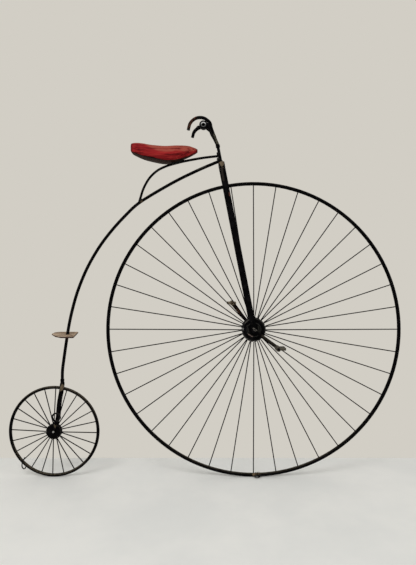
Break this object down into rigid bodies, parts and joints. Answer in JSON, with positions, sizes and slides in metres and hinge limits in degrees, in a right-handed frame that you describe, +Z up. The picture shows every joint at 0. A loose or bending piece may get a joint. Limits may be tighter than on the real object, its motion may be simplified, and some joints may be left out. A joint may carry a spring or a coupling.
{
  "type": "decorative penny farthing bicycle",
  "caption": "Ornamental high-wheel bicycle of painted wrought iron, with a tall front wheel, small rear wheel, curved backbone, carved wooden saddle, curled handlebar and turning cranks.",
  "frame": {"origin": "top of the saddle, in its middle, where a rider's weight rests", "axes": "+X forward, +Y to the bicycle's left, +Z up"},
  "size_m": [0.7776, 0.0958, 0.7069],
  "materials": {
    "black_iron": "worn semi-gloss black paint",
    "spoke_wire": "satin black paint over wire",
    "rusty_iron": "black paint worn to brown rust and braze",
    "bare_iron": "dark iron, bright at its worn ends",
    "red_wood": "red stain over grain, worn lighter on top",
    "tan_wood": "bare tan wood",
    "pedal_wood": "weathered grey tan wood"
  },
  "bodies": {
    "frame": {"backbone": "black_iron", "saddle_bar": "black_iron", "head_tube": "black_iron", "saddle": "red_wood", "step_plate": "tan_wood", "rear_fork": "black_iron", "rear_fork_crown": "rusty_iron", "rear_axle": "bare_iron"},
    "steering": {"fork_blade_right": "black_iron", "fork_blade_left": "black_iron", "fork_crown": "black_iron", "steerer": "black_iron", "handlebar_collar": "black_iron", "handlebar_right": "black_iron", "handlebar_left": "black_iron", "handlebar_brace": "bare_iron"},
    "front_wheel": {"front_rim": "black_iron", "front_rim_tie": "rusty_iron", "front_hub": "black_iron", "front_spokes_right": "spoke_wire", "front_spokes_left": "spoke_wire", "front_axle": "bare_iron", "crank_right": "black_iron", "crank_left": "rusty_iron", "pedal_pin_right": "rusty_iron", "pedal_pin_left": "rusty_iron"},
    "right_pedal": {"pedal_right": "pedal_wood"},
    "left_pedal": {"pedal_left": "pedal_wood"},
    "rear_wheel": {"rear_rim": "black_iron", "rear_rim_hook": "black_iron", "rear_hub": "black_iron", "rear_spokes_right": "spoke_wire", "rear_spokes_left": "spoke_wire"}
  },
  "joints": [
    {"name": "steering_turn", "type": "hinge", "parent": "frame", "child": "steering", "pos_m": [0.17619, 0, -0.36312], "axis": [-0.1908, 0, 0.9816], "range_deg": [-45, 45]},
    {"name": "front_wheel_spin", "type": "hinge", "parent": "steering", "child": "front_wheel", "pos_m": [0.17619, 0, -0.36312], "axis": [0, 1, 0], "continuous": true},
    {"name": "right_pedal_spin", "type": "hinge", "parent": "front_wheel", "child": "right_pedal", "pos_m": [0.21972, 0, -0.39591], "axis": [0, 1, 0], "continuous": true},
    {"name": "left_pedal_spin", "type": "hinge", "parent": "front_wheel", "child": "left_pedal", "pos_m": [0.13453, 0, -0.31257], "axis": [0, 1, 0], "continuous": true},
    {"name": "rear_wheel_spin", "type": "hinge", "parent": "frame", "child": "rear_wheel", "pos_m": [-0.21922, 0, -0.56551], "axis": [0, 1, 0], "continuous": true}
  ]
}
